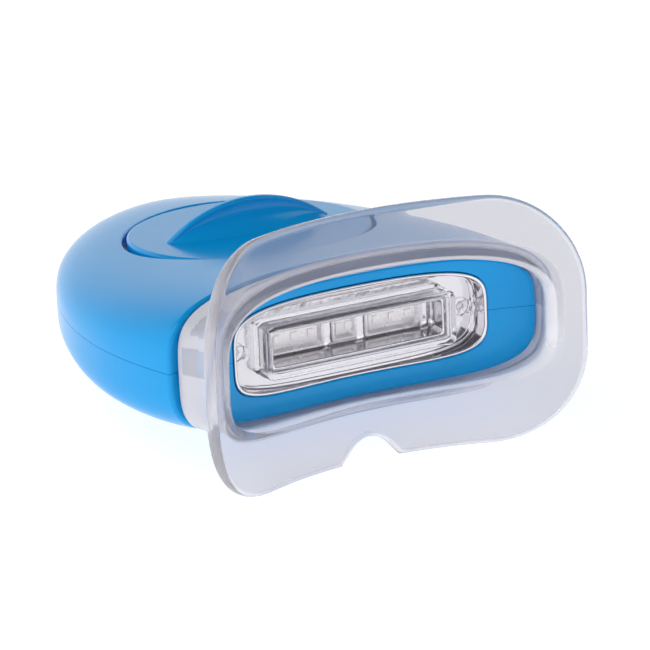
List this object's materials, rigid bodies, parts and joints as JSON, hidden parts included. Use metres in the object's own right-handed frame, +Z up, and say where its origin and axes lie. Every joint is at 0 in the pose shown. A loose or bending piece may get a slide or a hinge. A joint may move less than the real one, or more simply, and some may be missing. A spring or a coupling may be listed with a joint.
{
  "type": "teeth whitening light",
  "caption": "Hand-held teeth whitening light: egg-shaped body, clear pull-off lip mouthpiece, lamps behind a lens in the hollowed front face, turn cap over the battery bay.",
  "frame": {"origin": "on the table under the middle of the object as it rests on the mouthpiece's lower edge and the body's underside", "axes": "+X to the right seen from the mouth end, +Y from the mouth end back into the body, +Z up"},
  "size_m": [0.0724, 0.0882, 0.0403],
  "materials": {
    "blue_plastic": "polished sky blue moulding",
    "clear_plastic": "clear polished moulding with a faint lavender cast",
    "silver_plating": "bright vacuum-metallised plastic",
    "lens_plastic": "clear polished moulding",
    "emitter": "cast clear resin over a pale chip",
    "circuit_board": "green solder mask",
    "inner_plastic": "plain white moulding",
    "steel": "nickel plated",
    "black_rubber": "matt",
    "black_plastic": "fine matt moulding",
    "red_insulation": "smooth extruded insulation"
  },
  "bodies": {
    "housing": {"upper_shell": "blue_plastic", "lower_shell": "blue_plastic", "cap_seal_ring": "black_rubber", "reflector_tray": "silver_plating", "lens_cover": "lens_plastic", "led_board": "circuit_board", "led_center": "emitter", "led_left": "emitter", "led_right": "emitter", "battery_tray": "inner_plastic", "battery_cell_upper": "steel", "battery_cell_lower": "steel", "positive_contact": "steel", "negative_contact": "steel", "control_board": "circuit_board", "timer_chip": "black_plastic", "buzzer": "black_plastic", "shell_screw_1": "steel", "shell_screw_2": "steel", "shell_screw_3": "steel", "shell_screw_4": "steel", "led_wire_red": "red_insulation", "led_wire_black": "black_plastic", "battery_wire_red": "red_insulation", "battery_wire_black": "black_plastic"},
    "turn_cap": {"turn_cap": "blue_plastic", "cap_contact_plate": "steel"},
    "mouthpiece": {"mouthpiece": "clear_plastic"}
  },
  "joints": [
    {"name": "cap_turn", "type": "hinge", "parent": "housing", "child": "turn_cap", "pos_m": [0, 0.00814, 0.02115], "axis": [0, 0.2211, 0.9752], "range_deg": [0, 45]},
    {"name": "mouthpiece_pull", "type": "slide", "parent": "housing", "child": "mouthpiece", "axis": [0, -0.9824, 0.187], "range_m": [0, 0.012]}
  ]
}
